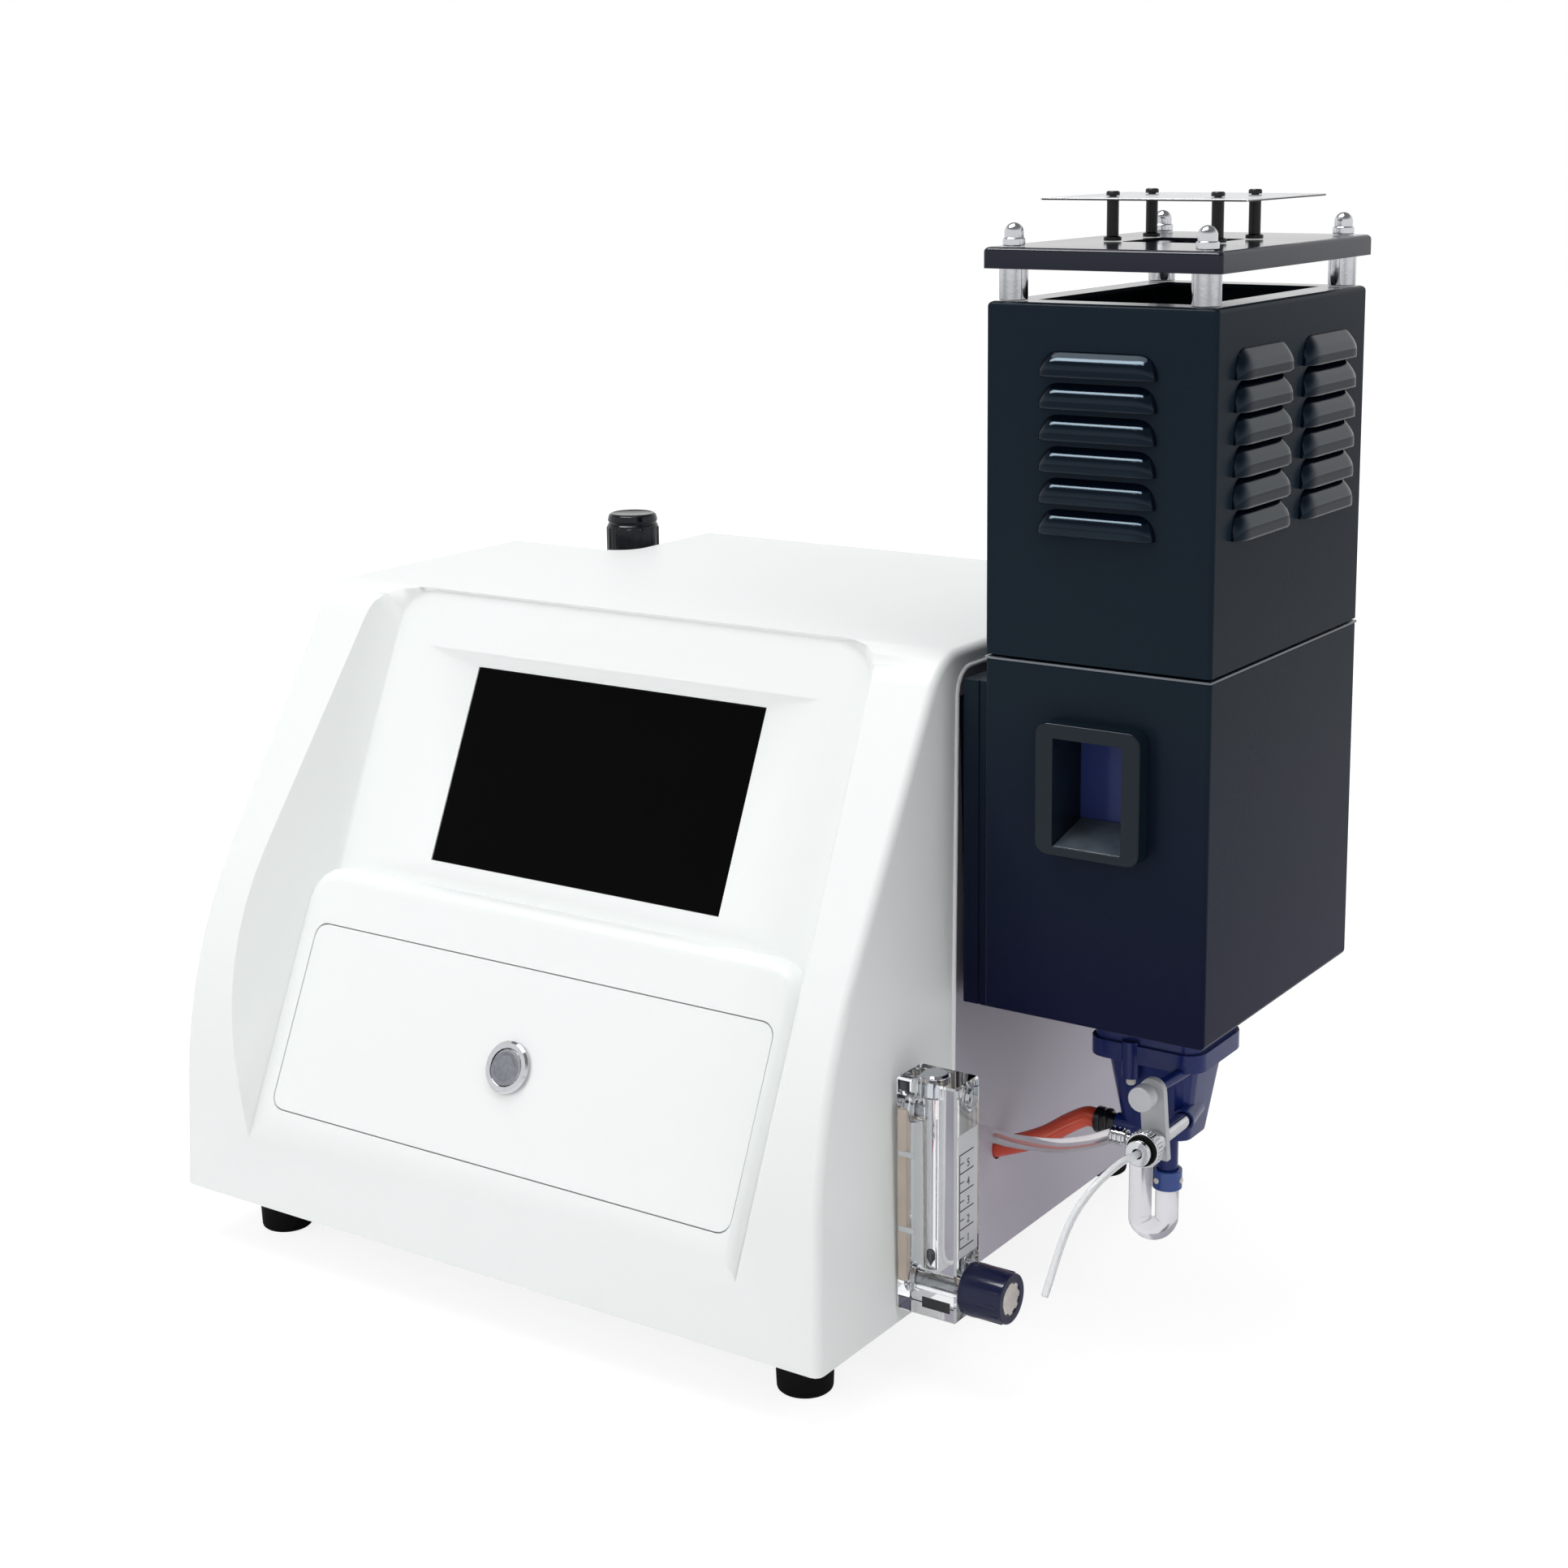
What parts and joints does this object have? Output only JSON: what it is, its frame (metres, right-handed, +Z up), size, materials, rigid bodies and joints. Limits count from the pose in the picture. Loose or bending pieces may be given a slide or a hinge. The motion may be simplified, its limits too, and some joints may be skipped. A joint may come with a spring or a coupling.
{
  "type": "flame photometer",
  "caption": "Bench flame photometer: white moulded housing with a sloping touch screen, a black louvred flame chimney on its right side, a spray chamber below it and a clear flow meter.",
  "frame": {"origin": "bottom centre of the whole instrument, on the bench between its rubber feet", "axes": "+Z up, front with the screen towards -Y, flame chimney towards +X"},
  "size_m": [0.4492, 0.326, 0.4579],
  "materials": {
    "white_shell": "satin moulded plastic",
    "white_sheet": "white powder coat",
    "zinc_sheet": "zinc plated sheet",
    "black_coat": "satin black powder coat",
    "black_plastic": "satin",
    "black_rubber": "matt",
    "stainless": "brushed",
    "bright_metal": "polished nickel plating",
    "turned_aluminium": "turned",
    "brass_fitting": "machined",
    "black_fitting": "gloss",
    "blue_plastic": "satin moulded plastic",
    "navy_plastic": "satin",
    "grey_plastic": "satin",
    "ceramic": "glazed ceramic",
    "orange_tube": "satin",
    "clear_plastic": "polished clear plastic",
    "clear_tube": "soft clear plastic",
    "screen_glass": "polished, black",
    "cobalt_glass": "polished, cobalt blue",
    "circuit_board": "solder resist"
  },
  "bodies": {
    "instrument": {"housing_cover": "white_shell", "base_plate": "zinc_sheet", "side_panel": "white_sheet", "rear_panel": "zinc_sheet", "foot_front_right": "black_rubber", "foot_front_left": "black_rubber", "foot_rear_right": "black_rubber", "foot_rear_left": "black_rubber", "touch_glass": "screen_glass", "display_module": "grey_plastic", "insert_plate": "white_shell", "button_bezel": "bright_metal", "lower_chimney": "black_coat", "mount_duct": "black_coat", "window_frame": "black_plastic", "window_glass": "cobalt_glass", "mixing_chamber": "blue_plastic", "burner_head": "stainless", "igniter": "ceramic", "nebuliser_body": "bright_metal", "clamp_plate": "grey_plastic", "trap_ring": "blue_plastic", "drain_trap": "clear_tube", "gas_fitting": "black_fitting", "gas_tube": "orange_tube", "air_tube": "clear_tube", "sample_capillary": "clear_tube", "flow_block": "clear_plastic", "flow_plug": "bright_metal", "valve_body": "stainless", "flow_outlet": "stainless", "regulator_body": "turned_aluminium", "mains_inlet": "black_plastic", "gas_inlet": "brass_fitting", "optics_block": "black_plastic", "main_board": "circuit_board", "power_supply": "zinc_sheet"},
    "start_button": {"button_cap": "stainless"},
    "power_rocker": {"power_switch": "black_plastic"},
    "flow_knob": {"valve_knob": "navy_plastic"},
    "float": {"flow_float": "black_plastic"},
    "pressure_knob": {"regulator_knob": "black_plastic"},
    "filter_bowl": {"filter_bowl": "clear_plastic"},
    "nebuliser_nut": {"nebuliser_nut": "bright_metal"},
    "clamp_knob": {"clamp_knob": "grey_plastic"},
    "upper_chimney": {"upper_chimney": "black_coat", "chimney_lid": "black_coat", "deflector_plate": "stainless", "lid_post_front_left": "turned_aluminium", "lid_post_front_right": "turned_aluminium", "lid_post_rear_left": "turned_aluminium", "lid_post_rear_right": "turned_aluminium", "dome_nut_front_left": "bright_metal", "dome_nut_front_right": "bright_metal", "dome_nut_rear_left": "bright_metal", "dome_nut_rear_right": "bright_metal", "deflector_spacer_front_left": "black_plastic", "deflector_spacer_front_right": "black_plastic", "deflector_spacer_rear_left": "black_plastic", "deflector_spacer_rear_right": "black_plastic"}
  },
  "joints": [
    {"name": "start_button_press", "type": "slide", "parent": "instrument", "child": "start_button", "axis": [0, 0.91, -0.4147], "range_m": [0, 0.0015], "stiffness_N_per_m": 400, "springref_m": -0.001},
    {"name": "power_rocker_tip", "type": "hinge", "parent": "instrument", "child": "power_rocker", "pos_m": [0.0524, 0.1425, 0.092], "axis": [1, 0, 0], "range_deg": [0, 18]},
    {"name": "flow_knob_turn", "type": "hinge", "parent": "instrument", "child": "flow_knob", "pos_m": [0.1404, -0.09915, 0.0437], "axis": [1, 0, 0], "range_deg": [0, 1080]},
    {"name": "float_rise", "type": "slide", "parent": "instrument", "child": "float", "axis": [0, 0, 1], "range_m": [0, 0.05]},
    {"name": "pressure_knob_turn", "type": "hinge", "parent": "instrument", "child": "pressure_knob", "pos_m": [-0.1716, 0.104, 0.262], "axis": [0, 0, 1], "range_deg": [-540, 540]},
    {"name": "filter_bowl_turn", "type": "hinge", "parent": "instrument", "child": "filter_bowl", "pos_m": [-0.1716, 0.104, 0.143], "axis": [0, 0, 1], "range_deg": [0, 60]},
    {"name": "nebuliser_nut_turn", "type": "hinge", "parent": "instrument", "child": "nebuliser_nut", "pos_m": [0.1934, -0.0645, 0.098], "axis": [0, -1, 0], "range_deg": [0, 720]},
    {"name": "clamp_knob_turn", "type": "hinge", "parent": "instrument", "child": "clamp_knob", "pos_m": [0.1914, -0.059, 0.1175], "axis": [0, -1, 0], "range_deg": [0, 1080]},
    {"name": "upper_chimney_lift", "type": "slide", "parent": "instrument", "child": "upper_chimney", "axis": [0, 0, 1], "range_m": [0, 0.06]}
  ],
  "couplings": [
    {"joint": "float_rise", "follows": "flow_knob_turn", "m_per_rad": 0.002652}
  ]
}
